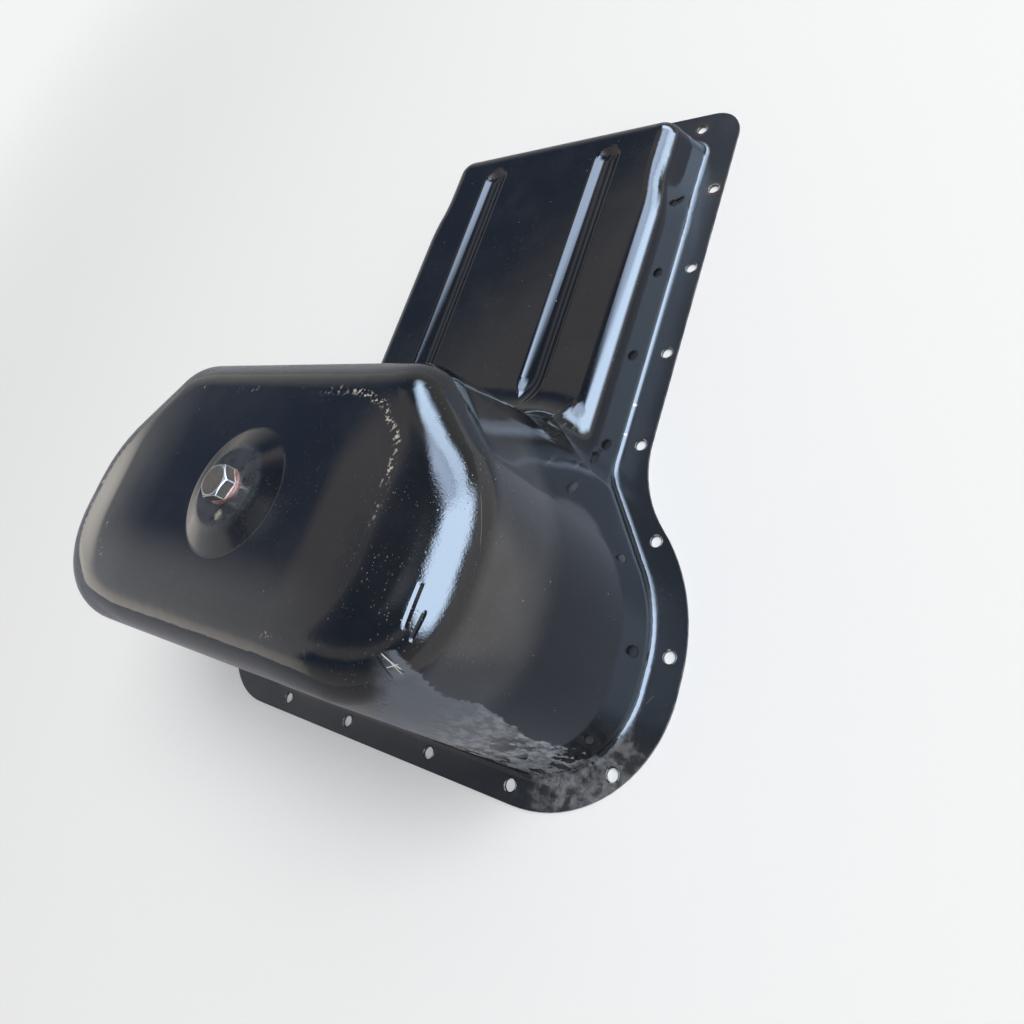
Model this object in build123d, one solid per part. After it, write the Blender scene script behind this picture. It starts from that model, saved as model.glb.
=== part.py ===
"""Pressed-steel engine oil pan, lying on its gasket face with the sump up.

Millimetres. Y runs from the sump end to the shallow end, Z up from the gasket
face, X across. The skin is one drawn sheet: its form is built twice, once for
the outside and once a sheet thickness further in, and the second is taken away.
"""
import os
from math import acos, cos, degrees, hypot, radians, sin, tan

from build123d import *

SHEET = 1.5

FLANGE_LENGTH = 484.0
FLANGE_NARROW_HALF = 127.5
FLANGE_WIDE_HALF = 182.0
FLANGE_NEAR_RADIUS = 78.0
FLANGE_NEAR_LEFT_RADIUS = 55.0
FLANGE_EAR_RADIUS = 109.0
FLANGE_WAIST_RADIUS = 77.0
FLANGE_FAR_RADIUS = 23.0
EAR_Y = 88.0

RAIL_SIDE = 20.0
RAIL_NEAR = 18.0
RAIL_FAR = 25.5
BEND_RADIUS = 4.0

SUMP_TOP = 171.5
SUMP_SIDE_LEAN = 7.0
SUMP_NEAR_LEAN = 7.0
SUMP_BACK_LEAN = 35.0
SUMP_BACK_Y = 218.0
SUMP_BACK_FOOT_RADIUS = 62.0
SUMP_BACK_TOP_RADIUS = 30.0
SUMP_WING_FOOT = 1.6
SUMP_WING_TOP = 3.5
SUMP_EAR_TOP_RADIUS = 70.0
SUMP_EAR_RISE = 12.0
SUMP_ROLL_RADIUS = 24.0
SADDLE_RADIUS = 32.0

SHALLOW_TOP = 39.5
SHALLOW_LEAN = 3.0
SHALLOW_FAR_LEAN = 8.5
SHALLOW_STEP = 6.0
SHALLOW_FOOT_STEP = 0.5
SHALLOW_STEP_FAR = 92.0
SHALLOW_STEP_LENGTH = 44.0
SHALLOW_CORNER_RADIUS = 14.0
SHALLOW_ROLL_RADIUS = 13.0
SHALLOW_ROOT_Y = 100.0

BEAD_X = 52.0
BEAD_WIDTH = 20.0
BEAD_DEPTH = 4.0
BEAD_FAR = 52.0
BEAD_CLIMB = 50.0
BEAD_RUNOUT = 8.0
BEAD_LIP_RADIUS = 4.0

BOSS_X = 2.0
BOSS_Y = 103.5
BOSS_HEIGHT = 5.5
BOSS_FOOT_RADIUS = 35.5
BOSS_TOP_RADIUS = 21.5
BOSS_LIP_RADIUS = 4.0

BOLT_HOLE = 7.0
SIDE_HOLE_EDGE = 7.0
SIDE_HOLE_Y = 217.0
SIDE_HOLE_FAR = 71.1
SIDE_HOLE_COUNT = 4
EAR_HOLE_EDGE = 6.8
EAR_HOLE_ANGLE = 43.0
WIDE_HOLE_EDGE = 8.7
WIDE_HOLE_ANGLE = 4.6
CORNER_HOLE_EDGE = 6.8
CORNER_HOLE_ANGLE = -40.7
NEAR_HOLE_XS = (36.8, 99.4)
NEAR_HOLE_EDGE = 9.3
FAR_HOLE_X = 32.5
FAR_HOLE_SIDE = 30.1
FAR_HOLE_EDGE = 13.5

THREAD = 14.0
THREAD_CLEARANCE = 0.2
SHANK_HOLE = 15.0
NUT_WIDTH = 27.0
NUT_HEIGHT = 10.0
NUT_CHAMFER = 1.2
WASHER_WIDTH = 20.0
WASHER_BORE = 14.6
WASHER_HEIGHT = 1.5
HEAD_ACROSS_FLATS = 17.0
HEAD_HEIGHT = 6.5
HEAD_FACE = 16.2
HEAD_CHAMFER_ANGLE = 30.0
HEAD_TURN = 10.0
SHANK_REACH = 2.0
SHANK_CHAMFER = 1.5


def flange_face():
    """Flange outline: wide ears round the sump, drawn in at the waist to the narrow rails."""
    turn = acos(1 - (FLANGE_WIDE_HALF - FLANGE_NARROW_HALF) / (FLANGE_EAR_RADIUS + FLANGE_WAIST_RADIUS))
    waist_y = EAR_Y + (FLANGE_EAR_RADIUS + FLANGE_WAIST_RADIUS) * sin(turn)
    waist_x = FLANGE_NARROW_HALF + FLANGE_WAIST_RADIUS
    ear_x = FLANGE_WIDE_HALF - FLANGE_EAR_RADIUS
    far_x, far_y = FLANGE_NARROW_HALF - FLANGE_FAR_RADIUS, FLANGE_LENGTH - FLANGE_FAR_RADIUS
    near_xs = []
    with BuildSketch() as sketch:
        with BuildLine():
            for side, near_r in ((1, FLANGE_NEAR_RADIUS), (-1, FLANGE_NEAR_LEFT_RADIUS)):
                start = 90 - side * 90
                near_xs.append(side * (FLANGE_WIDE_HALF - near_r))
                CenterArc((near_xs[-1], near_r), near_r, -90, side * 90)
                Line((side * FLANGE_WIDE_HALF, near_r), (side * FLANGE_WIDE_HALF, EAR_Y))
                CenterArc((side * ear_x, EAR_Y), FLANGE_EAR_RADIUS, start, side * degrees(turn))
                CenterArc((side * waist_x, waist_y), FLANGE_WAIST_RADIUS, 180 - start, side * degrees(turn))
                Line((side * FLANGE_NARROW_HALF, waist_y), (side * FLANGE_NARROW_HALF, far_y))
                CenterArc((side * far_x, far_y), FLANGE_FAR_RADIUS, start, side * 90)
            Line((near_xs[0], 0), (near_xs[1], 0))
            Line((far_x, FLANGE_LENGTH), (-far_x, FLANGE_LENGTH))
        make_face()
    return sketch.sketch


def flank_angle(wing_x, back_y, back_r, ear_x, ear_y, ear_r):
    """Angle at which the flank leaves the ear's arc so that it runs into the back corner at wing_x."""
    low, high = 0.0, 90.0
    for _ in range(50):
        angle = (low + high) / 2
        turn = radians(angle)
        wing_y = back_y - back_r * (1 - sin(turn))
        reach = (wing_x - ear_x) * cos(turn) + (wing_y - ear_y) * sin(turn)
        low, high = (angle, high) if reach < ear_r else (low, angle)
    return angle


def sump_face(level, inset):
    """Sump outline at a level, inset from the outside of the sheet."""
    def at(foot, top):
        return foot + (top - foot) * level / SUMP_TOP

    foot_half = FLANGE_WIDE_HALF - RAIL_SIDE
    half = at(foot_half, foot_half - SUMP_SIDE_LEAN)
    near_y = at(RAIL_NEAR, RAIL_NEAR + SUMP_NEAR_LEAN) + inset
    back_y = at(SUMP_BACK_Y, SUMP_BACK_Y - SUMP_BACK_LEAN)
    near_r = FLANGE_NEAR_RADIUS - RAIL_SIDE - inset
    ear_r = at(FLANGE_EAR_RADIUS - RAIL_SIDE, SUMP_EAR_TOP_RADIUS)
    back_r = at(SUMP_BACK_FOOT_RADIUS, SUMP_BACK_TOP_RADIUS)
    ear_x, ear_y = half - ear_r, at(EAR_Y, EAR_Y + SUMP_EAR_RISE)
    wing_x = FLANGE_NARROW_HALF - RAIL_SIDE + at(SUMP_WING_FOOT, SUMP_WING_TOP)
    turn = flank_angle(wing_x, back_y, back_r, ear_x, ear_y, ear_r)
    flank = radians(turn)
    half, back_y, ear_r, back_r = half - inset, back_y - inset, ear_r - inset, back_r - inset
    start = (ear_x + ear_r * cos(flank), ear_y + ear_r * sin(flank))
    run = (back_y - back_r * (1 - sin(flank)) - start[1]) / cos(flank)
    end = (start[0] - run * sin(flank), start[1] + run * cos(flank))
    back_x = end[0] - back_r * cos(flank)
    with BuildSketch(Plane.XY.offset(level)) as sketch:
        with BuildLine():
            for side in (1, -1):
                CenterArc((side * (half - near_r), near_y + near_r), near_r, -90, side * 90)
                Line((side * half, near_y + near_r), (side * half, ear_y))
                CenterArc((side * ear_x, ear_y), ear_r, 90 - side * 90, side * turn)
                Line((side * start[0], start[1]), (side * end[0], end[1]))
                CenterArc((side * back_x, back_y - back_r), back_r, 90, side * (turn - 90))
            Line((near_r - half, near_y), (half - near_r, near_y))
            Line((-back_x, back_y), (back_x, back_y))
        make_face()
    return sketch.sketch


def sump_form(inset):
    """Solid of the deep end, its walls leaning in, its top edge rolled over."""
    body = loft([sump_face(0, inset), sump_face(SUMP_TOP - inset, inset)], ruled=True)
    return fillet(body.faces().sort_by(Axis.Z)[-1].edges(), SUMP_ROLL_RADIUS - inset)


def shallow_face(level, inset):
    """Shallow outline at a level: near straight at the foot, stepped in towards the far end at the top."""
    lean = level / SHALLOW_TOP
    half = FLANGE_NARROW_HALF - RAIL_SIDE - SHALLOW_LEAN * lean - inset
    far_y = FLANGE_LENGTH - RAIL_FAR - SHALLOW_FAR_LEAN * lean - inset
    step = SHALLOW_FOOT_STEP + (SHALLOW_STEP - SHALLOW_FOOT_STEP) * lean
    corner = SHALLOW_CORNER_RADIUS - inset
    middle = FLANGE_LENGTH - SHALLOW_STEP_FAR
    start, end = middle - SHALLOW_STEP_LENGTH / 2, middle + SHALLOW_STEP_LENGTH / 2
    with BuildSketch(Plane.XY.offset(level)) as sketch:
        with BuildLine():
            for side in (1, -1):
                wide, waist, slim = side * half, side * (half - step / 2), side * (half - step)
                Line((wide, SHALLOW_ROOT_Y), (wide, start))
                TangentArc((wide, start), (waist, middle), tangent=(0, 1))
                TangentArc((slim, end), (waist, middle), tangent=(0, -1))
                Line((slim, end), (slim, far_y - corner))
                CenterArc((slim - side * corner, far_y - corner), corner, 90 - side * 90, side * 90)
            Line((-half, SHALLOW_ROOT_Y), (half, SHALLOW_ROOT_Y))
            Line((corner + step - half, far_y), (half - step - corner, far_y))
        make_face()
    return sketch.sketch


def shallow_form(inset):
    """Solid of the shallow end, running back into the sump, its top edge rolled over."""
    body = loft([shallow_face(0, inset), shallow_face(SHALLOW_TOP - inset, inset)], ruled=True)
    rolled = body.faces().sort_by(Axis.Z)[-1].edges().sort_by(Axis.Y)[1:]
    return fillet(rolled, SHALLOW_ROLL_RADIUS - inset)


def bead_tool(side, inset):
    """Rod that presses one stiffening bead along the shallow floor and up the saddle."""
    rod = (BEAD_WIDTH**2 / 4 + BEAD_DEPTH**2) / (2 * BEAD_DEPTH)
    lift = rod - BEAD_DEPTH
    slope = SUMP_BACK_LEAN / SUMP_TOP
    foot_y = SUMP_BACK_Y - slope * SHALLOW_TOP
    turn_y = foot_y + SADDLE_RADIUS * (hypot(1, slope) - slope) + BEAD_RUNOUT
    bend = SADDLE_RADIUS - lift
    start = (side * BEAD_X, FLANGE_LENGTH - BEAD_FAR - BEAD_WIDTH / 2, SHALLOW_TOP + lift)
    turn = (side * BEAD_X, turn_y, SHALLOW_TOP + lift)
    climb = radians(BEAD_CLIMB)
    end = (side * BEAD_X, turn_y - bend * sin(climb), SHALLOW_TOP + lift + bend * (1 - cos(climb)))
    with BuildLine() as path:
        Line(start, turn)
        TangentArc(turn, end, tangent=(0, -1, 0))
    section = Plane(origin=start, z_dir=(0, -1, 0)) * Circle(rod + inset)
    ends = Pos(*start) * Sphere(rod + inset) + Pos(*end) * Sphere(rod + inset)
    return sweep(section, path.line) + ends


def boss_form(inset):
    """Raised seat for the drain plug, reaching down into the sump floor."""
    slope = BOSS_HEIGHT / (BOSS_FOOT_RADIUS - BOSS_TOP_RADIUS)
    shift = inset * (hypot(1, slope) - 1) / slope
    depth = BOSS_HEIGHT
    foot = BOSS_FOOT_RADIUS - shift + depth / slope
    cone = Cone(foot, BOSS_TOP_RADIUS - shift, BOSS_HEIGHT + depth,
                align=(Align.CENTER, Align.CENTER, Align.MAX))
    return Pos(BOSS_X, BOSS_Y, SUMP_TOP + BOSS_HEIGHT - inset) * cone


def drawn_form(inset):
    """Both ends in one: saddle blended by a rolling radius, boss raised, beads pressed in."""
    sump = sump_form(inset)
    shallow = shallow_form(inset)
    body = sump + shallow
    body = fillet(new_edges(sump, shallow, combined=body), SADDLE_RADIUS + inset)
    boss = boss_form(inset)
    raised = body + boss
    rings = new_edges(body, boss, combined=raised)
    body = fillet(rings, BOSS_LIP_RADIUS + inset)
    rim = body.faces().sort_by(Axis.Z)[-1].edges()
    body = fillet(rim, BOSS_LIP_RADIUS - inset)
    for side in (1, -1):
        tool = bead_tool(side, inset)
        pressed = body - tool
        body = fillet(new_edges(body, tool, combined=pressed), BEAD_LIP_RADIUS - inset)
    return body


def bolt_points():
    """Flange hole centres, mirrored about the middle."""
    def on_arc(radius, centre_y, edge, angle):
        reach = radius - edge
        return FLANGE_WIDE_HALF - radius + reach * cos(radians(angle)), centre_y + reach * sin(radians(angle))

    pitch = (FLANGE_LENGTH - SIDE_HOLE_FAR - SIDE_HOLE_Y) / (SIDE_HOLE_COUNT - 1)
    far_y = FLANGE_LENGTH - FAR_HOLE_EDGE
    right = [(FLANGE_NARROW_HALF - SIDE_HOLE_EDGE, SIDE_HOLE_Y + pitch * i) for i in range(SIDE_HOLE_COUNT)]
    right.append(on_arc(FLANGE_EAR_RADIUS, EAR_Y, EAR_HOLE_EDGE, EAR_HOLE_ANGLE))
    right.append(on_arc(FLANGE_EAR_RADIUS, EAR_Y, WIDE_HOLE_EDGE, WIDE_HOLE_ANGLE))
    right.append(on_arc(FLANGE_NEAR_RADIUS, FLANGE_NEAR_RADIUS, CORNER_HOLE_EDGE, CORNER_HOLE_ANGLE))
    right += [(x, NEAR_HOLE_EDGE) for x in NEAR_HOLE_XS]
    right += [(FAR_HOLE_X, far_y), (FLANGE_NARROW_HALF - FAR_HOLE_SIDE, far_y)]
    return [(side * x, y) for x, y in right for side in (1, -1)]


def pan_shell():
    """The drawn sheet: flange, walls, floor, beads and drain seat in one piece."""
    outside = extrude(flange_face(), SHEET) + drawn_form(0)
    flange_top = outside.faces().filter_by(Axis.Z).filter_by_position(Axis.Z, SHEET - 0.01, SHEET + 0.01)[0]
    outside = fillet(flange_top.inner_wires()[0].edges(), BEND_RADIUS)
    shell = outside - drawn_form(SHEET)
    gasket_face = shell.faces().sort_by(Axis.Z)[0]
    shell = fillet(gasket_face.inner_wires()[0].edges(), BEND_RADIUS + SHEET)
    for x, y in bolt_points():
        shell -= Pos(x, y, SHEET / 2) * Cylinder(BOLT_HOLE / 2, SHEET * 2)
    shell -= Pos(BOSS_X, BOSS_Y, SUMP_TOP + BOSS_HEIGHT) * Cylinder(SHANK_HOLE / 2, SHEET * 4)
    return shell


def drain_nut():
    """Round weld nut under the drain seat, bored for the plug's thread."""
    nut = Cylinder(NUT_WIDTH / 2, NUT_HEIGHT, align=(Align.CENTER, Align.CENTER, Align.MAX))
    nut = chamfer(nut.edges().sort_by(Axis.Z)[0], NUT_CHAMFER)
    nut -= Cylinder((THREAD + THREAD_CLEARANCE) / 2, NUT_HEIGHT * 3)
    return Pos(BOSS_X, BOSS_Y, SUMP_TOP + BOSS_HEIGHT - SHEET) * nut


def drain_washer():
    """Flat sealing ring between plug head and drain seat."""
    ring = Cylinder(WASHER_WIDTH / 2, WASHER_HEIGHT, align=(Align.CENTER, Align.CENTER, Align.MIN))
    ring -= Cylinder(WASHER_BORE / 2, WASHER_HEIGHT * 3)
    return Pos(BOSS_X, BOSS_Y, SUMP_TOP + BOSS_HEIGHT) * ring


def drain_plug():
    """Hex-headed plug, its shank through washer, seat and nut."""
    hexagon = RegularPolygon(HEAD_ACROSS_FLATS / 2, 6, major_radius=False, rotation=HEAD_TURN)
    head = extrude(hexagon, HEAD_HEIGHT)
    face = HEAD_FACE / 2
    cap = Cone(face + HEAD_HEIGHT / tan(radians(HEAD_CHAMFER_ANGLE)), face, HEAD_HEIGHT,
               align=(Align.CENTER, Align.CENTER, Align.MAX))
    head &= Pos(0, 0, HEAD_HEIGHT) * cap
    length = WASHER_HEIGHT + SHEET + NUT_HEIGHT + SHANK_REACH
    shank = Cylinder(THREAD / 2, length, align=(Align.CENTER, Align.CENTER, Align.MAX))
    shank = chamfer(shank.edges().sort_by(Axis.Z)[0], SHANK_CHAMFER)
    return Pos(BOSS_X, BOSS_Y, SUMP_TOP + BOSS_HEIGHT + WASHER_HEIGHT) * (head + shank)


NODES = {
    "pan_shell": pan_shell,
    "drain_nut": drain_nut,
    "drain_washer": drain_washer,
    "drain_plug": drain_plug,
}

if __name__ == "__main__":
    os.makedirs("parts", exist_ok=True)
    for name, build in NODES.items():
        export_step(Pos(0, -FLANGE_LENGTH / 2, 0) * build(), f"parts/{name}.step")
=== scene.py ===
"""Engine oil pan lying on its gasket face: finishes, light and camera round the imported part."""

import logging
import math
from dataclasses import dataclass, field
from enum import Enum
from functools import cache, cached_property
from typing import Any, ClassVar

import bmesh
import bpy
from bpy.types import ColorRamp, ID, Material, Mesh, NodeTree, Object
from bpy.types import NodeSocket as Socket
from mathutils import Matrix, Vector


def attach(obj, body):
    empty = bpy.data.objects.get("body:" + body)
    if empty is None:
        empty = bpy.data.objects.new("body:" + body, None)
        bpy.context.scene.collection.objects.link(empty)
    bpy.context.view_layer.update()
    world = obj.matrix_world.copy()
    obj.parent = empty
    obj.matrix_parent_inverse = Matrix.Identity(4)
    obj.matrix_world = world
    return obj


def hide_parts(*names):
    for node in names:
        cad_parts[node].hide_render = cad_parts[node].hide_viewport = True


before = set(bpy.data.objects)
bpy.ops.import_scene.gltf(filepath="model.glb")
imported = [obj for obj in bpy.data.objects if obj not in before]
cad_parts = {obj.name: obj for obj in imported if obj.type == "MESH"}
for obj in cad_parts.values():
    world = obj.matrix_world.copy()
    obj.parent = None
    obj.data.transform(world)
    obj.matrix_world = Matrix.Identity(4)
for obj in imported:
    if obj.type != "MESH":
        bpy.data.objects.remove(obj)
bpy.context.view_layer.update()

Colour = tuple[float, float, float]
Point = tuple[float, float, float]
Range = tuple[float, float]

LOG = logging.getLogger("oil_pan")
BODY = "root"
WEAR = "wear"
ORIGIN: Point = (0.0, 0.0, 0.0)
FULL_CIRCLE = 360.0
NOISE_MIDDLE = 0.5


class Slot(Enum):
    """Names of material slots."""

    PAINT = "black_paint"
    PLUG = "plug_steel"


class Node(Enum):
    """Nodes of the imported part."""

    SHELL = "pan_shell"
    NUT = "drain_nut"
    WASHER = "drain_washer"
    PLUG = "drain_plug"


def rgba(colour: Colour) -> tuple[float, float, float, float]:
    """Gives a colour an opaque alpha."""
    return (*colour, 1.0)


class Graph:
    """Adds nodes and links to one node tree."""

    def __init__(self, tree: NodeTree) -> None:
        """Keeps the tree that the nodes go into."""
        self.tree = tree

    def feed(self, socket: Socket, value: Any) -> None:
        """Links a socket to an input, or writes a plain value into it.

        Args:
            socket: input to fill.
            value: output socket, number or tuple.
        """
        if isinstance(value, Socket):
            self.tree.links.new(value, socket)
        elif socket.type == "RGBA" and len(value) == 3:
            socket.default_value = rgba(value)
        else:
            socket.default_value = value

    def node(self, kind: str, inputs: dict[Any, Any] | None = None, **settings: Any) -> bpy.types.Node:
        """Adds a node.

        Args:
            kind: Blender's name of the node type.
            inputs: values or sockets by input name or number.
            settings: properties of the node.

        Returns:
            The new node.
        """
        made = self.tree.nodes.new(kind)
        for name, value in settings.items():
            setattr(made, name, value)
        for key, value in (inputs or {}).items():
            self.feed(made.inputs[key], value)
        return made

    def out(self, kind: str, inputs: dict[Any, Any] | None = None, key: Any = 0, **settings: Any) -> Socket:
        """Adds a node and gives the output that the key names, or else its first."""
        return self.node(kind, inputs, **settings).outputs[key]

    def math(self, operation: str, *values: Any, clamp: bool = False) -> Socket:
        """Runs an operation over one number, or over several in turn.

        Args:
            operation: Blender's name of the operation.
            values: numbers or sockets.
            clamp: keeps each result between 0 and 1.

        Returns:
            The result's socket.
        """
        result = values[0]
        for value in values[1:] or (0.0,):
            inputs = {0: result, 1: value}
            result = self.out("ShaderNodeMath", inputs, operation=operation, use_clamp=clamp)
        return result

    def times(self, *values: Any) -> Socket:
        """Multiplies numbers."""
        return self.math("MULTIPLY", *values)

    def less(self, first: Any, second: Any) -> Socket:
        """Takes the second number from the first."""
        return self.math("SUBTRACT", first, second)

    def vector(self, operation: str, first: Any, second: Any) -> Socket:
        """Adds an operation that makes a vector of two."""
        return self.out("ShaderNodeVectorMath", {0: first, 1: second}, "Vector", operation=operation)

    def measure(self, operation: str, first: Any, second: Any = ORIGIN) -> Socket:
        """Adds an operation that makes a number of vectors."""
        return self.out("ShaderNodeVectorMath", {0: first, 1: second}, "Value", operation=operation)

    def step(self, value: Any, low: Any, high: Any) -> Socket:
        """Rises smoothly from 0 at low to 1 at high."""
        inputs = {"Value": value, "From Min": low, "From Max": high}
        return self.out("ShaderNodeMapRange", inputs, "Result", interpolation_type="SMOOTHSTEP")

    def noise(self, vector: Any, scale: Any, detail: float = 2.0, rough: float = 0.5) -> Socket:
        """Adds a noise from 0 to 1, by its waves per metre, octaves and roughness."""
        inputs = {"Vector": vector, "Scale": scale, "Detail": detail, "Roughness": rough}
        return self.out("ShaderNodeTexNoise", inputs, "Fac")

    def swing(self, *values: Any) -> Socket:
        """Adds a noise about 0, by the values that a noise takes."""
        return self.less(self.noise(*values), NOISE_MIDDLE)

    def blend(self, share: Any, first: Any, second: Any) -> Socket:
        """Mixes two numbers; a share of 0 gives the first."""
        return self.out("ShaderNodeMix", {0: share, 2: first, 3: second}, data_type="FLOAT")

    def tint(self, share: Any, first: Any, second: Any) -> Socket:
        """Mixes two colours; a share of 0 gives the first."""
        return self.out("ShaderNodeMix", {0: share, 6: first, 7: second}, 2, data_type="RGBA")


@dataclass(frozen=True)
class Effect:
    """Shader effect that finishes share: a node group, built once and placed with its own values."""

    def place(self, graph: Graph, vector: Socket) -> Socket:
        """Places the effect.

        Args:
            graph: graph of the material.
            vector: place on the surface.

        Returns:
            The effect's mask.
        """
        name = type(self).__name__.lower()
        tree = bpy.data.node_groups.get(name) or self._group(name)
        values = {label.capitalize(): value for label, value in vars(self).items()}
        return graph.out("ShaderNodeGroup", {"Vector": vector, **values}, node_tree=tree)

    def _group(self, name: str) -> NodeTree:
        """Builds the effect's group, which takes a place and the effect's values.

        Args:
            name: the group's name.

        Returns:
            The group.
        """
        tree = bpy.data.node_groups.new(name, "ShaderNodeTree")
        for label, value in {"vector": ORIGIN, **vars(self)}.items():
            kind = "NodeSocketVector" if isinstance(value, tuple) else "NodeSocketFloat"
            tree.interface.new_socket(label.capitalize(), in_out="INPUT", socket_type=kind)
        tree.interface.new_socket("Mask", in_out="OUTPUT", socket_type="NodeSocketFloat")
        graph = Graph(tree)
        mask = self._mask(graph, graph.node("NodeGroupInput").outputs)
        graph.node("NodeGroupOutput", {0: mask})
        return tree

    def _mask(self, graph: Graph, taken: Any) -> Socket:
        """Fills the group from its named inputs; each effect does so in its own way."""
        raise NotImplementedError


@dataclass(frozen=True)
class Specks(Effect):
    """Fine grains: a share of random cells holds one round speck each."""

    scale: float
    share: float
    size: float
    least: ClassVar[float] = 0.4
    core: ClassVar[float] = 0.4

    def _mask(self, graph: Graph, taken: Any) -> Socket:
        """Masks the grains.

        Args:
            graph: graph of the group.
            taken: the group's inputs by name.

        Returns:
            The mask.
        """
        inputs = {"Vector": taken["Vector"], "Scale": taken["Scale"]}
        cells = graph.node("ShaderNodeTexVoronoi", inputs).outputs
        colour = graph.node("ShaderNodeSeparateColor", {0: cells["Color"]}).outputs
        chosen = graph.math("LESS_THAN", colour[0], taken["Share"])
        size = graph.times(taken["Size"], graph.math("ADD", colour[1], self.least))
        return graph.times(chosen, graph.step(cells["Distance"], size, graph.times(size, self.core)))


@dataclass(frozen=True)
class Clouds(Effect):
    """Soft uneven patches: a noise cut between two levels."""

    scale: float
    low: float
    high: float
    detail: ClassVar[float] = 4.0
    rough: ClassVar[float] = 0.6

    def _mask(self, graph: Graph, taken: Any) -> Socket:
        """Masks the patches."""
        grain = graph.noise(taken["Vector"], taken["Scale"], self.detail, self.rough)
        return graph.step(grain, taken["Low"], taken["High"])


@dataclass(frozen=True)
class Spot(Effect):
    """One round mark with a ragged rim, by its centre and radius."""

    centre: Point
    radius: float
    soft: float
    ragged: float
    grain: float
    detail: ClassVar[float] = 3.0
    rough: ClassVar[float] = 0.6
    spread: ClassVar[float] = 2.0

    def _mask(self, graph: Graph, taken: Any) -> Socket:
        """Masks the round mark.

        Args:
            graph: graph of the group.
            taken: the group's inputs by name.

        Returns:
            The mask.
        """
        gap = graph.measure("DISTANCE", taken["Vector"], taken["Centre"])
        grain = graph.swing(taken["Vector"], taken["Grain"], self.detail, self.rough)
        shift = graph.times(grain, taken["Ragged"], self.spread)
        reach = graph.math("ADD", graph.math("DIVIDE", gap, taken["Radius"]), shift)
        return graph.step(reach, 1.0, graph.less(1.0, taken["Soft"]))


@dataclass(frozen=True)
class Cut(Effect):
    """Flat cut; gives the distance to it in metres, above 0 on the side that its normal points to."""

    normal: Point
    offset: float

    def _mask(self, graph: Graph, taken: Any) -> Socket:
        """Measures the distance."""
        return graph.less(graph.measure("DOT_PRODUCT", taken["Vector"], taken["Normal"]), taken["Offset"])


class Skin(Graph):
    """Graph of a new material, with its Object coordinates."""

    def __init__(self, name: str) -> None:
        """Makes the material.

        Args:
            name: the material's name.
        """
        self.material = bpy.data.materials.new(name)
        self.material.use_nodes = True
        super().__init__(self.material.node_tree)
        self.place = self.out("ShaderNodeTexCoord", key="Object")

    @cached_property
    def at(self) -> Any:
        """X, Y and Z of the Object coordinates, by name."""
        return self.node("ShaderNodeSeparateXYZ", {0: self.place}).outputs

    @cached_property
    def normal(self) -> Socket:
        """Normal of the skin, without its bump."""
        return self.out("ShaderNodeNewGeometry", key="True Normal")

    @cached_property
    def facing(self) -> Socket:
        """Vertical part of the skin's normal."""
        return self.out("ShaderNodeSeparateXYZ", {0: self.normal}, "Z")

    def give(self, label: str, value: Any) -> None:
        """Feeds an input of the material's shader."""
        self.feed(self.tree.nodes["Principled BSDF"].inputs[label], value)

    @cache
    def mask(self, effect: Effect) -> Socket:
        """Places a shared effect at the Object coordinates, once for each set of values."""
        return effect.place(self, self.place)

    def height(self, levels: Range) -> Socket:
        """Rises from 0 to 1 between two heights over the gasket face."""
        return self.step(self.at["Z"], *levels)

    def mapped(self, **changes: Point) -> Socket:
        """Object coordinates after a Location, a Rotation or a Scale."""
        return self.out("ShaderNodeMapping", {"Vector": self.place, **changes})

    def bump(self, height: Socket, distance: float = 1.0) -> None:
        """Feeds the shader's normal from a height."""
        inputs = {"Height": height, "Distance": distance, "Strength": 1.0}
        self.give("Normal", self.out("ShaderNodeBump", inputs))


@dataclass(frozen=True)
class Ripple:
    """Uneven relief of the skin, by its waves per metre, octaves and height."""

    scale: float
    detail: float
    height: float

    def lay(self, skin: Skin) -> Socket:
        """Gives the relief's height in metres."""
        return skin.times(skin.noise(skin.place, self.scale, self.detail), self.height)


@dataclass(frozen=True)
class Streaks:
    """Drawn-out streaks: a noise that is turned, stretched and cut between two levels."""

    rotation: Point
    scale: Point
    detail: float
    levels: Range

    def mask(self, skin: Skin) -> Socket:
        """Masks the streaks."""
        drawn = skin.mapped(Rotation=self.rotation, Scale=self.scale)
        return skin.step(skin.noise(drawn, 1.0, self.detail), *self.levels)


@dataclass(frozen=True)
class Scratch:
    """Thin line on the skin, by its ends, the skin's normal and its width."""

    first: Point
    second: Point
    out: Point
    width: float
    soft: float = 0.35
    ragged: float = 0.15
    grain: float = 220.0

    def mask(self, skin: Skin) -> Socket:
        """Masks the line.

        Args:
            skin: graph of the material.

        Returns:
            The line's mask.
        """
        first, second = Vector(self.first), Vector(self.second)
        normal = (second - first).normalized().cross(Vector(self.out)).normalized()
        off = skin.math("ABSOLUTE", skin.mask(Cut(tuple(normal), normal.dot(first))))
        line = skin.math("SUBTRACT", 1.0, skin.math("DIVIDE", off, self.width), clamp=True)
        middle, reach = (first + second) / 2, (first - second).length / 2
        near = skin.mask(Spot(tuple(middle), reach, self.soft, self.ragged, self.grain))
        return skin.times(line, near)


@dataclass(frozen=True)
class Mark:
    """Small ragged mark on the skin, by its centre, radius, colour and cover."""

    centre: Point
    radius: float
    colour: Colour
    cover: float = 1.0
    soft: float = 0.7
    ragged: float = 0.8
    grain: float = 600.0

    def mask(self, skin: Skin) -> Socket:
        """Masks the mark by its cover."""
        spot = Spot(self.centre, self.radius, self.soft, self.ragged, self.grain)
        return skin.times(skin.mask(spot), self.cover)


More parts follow.
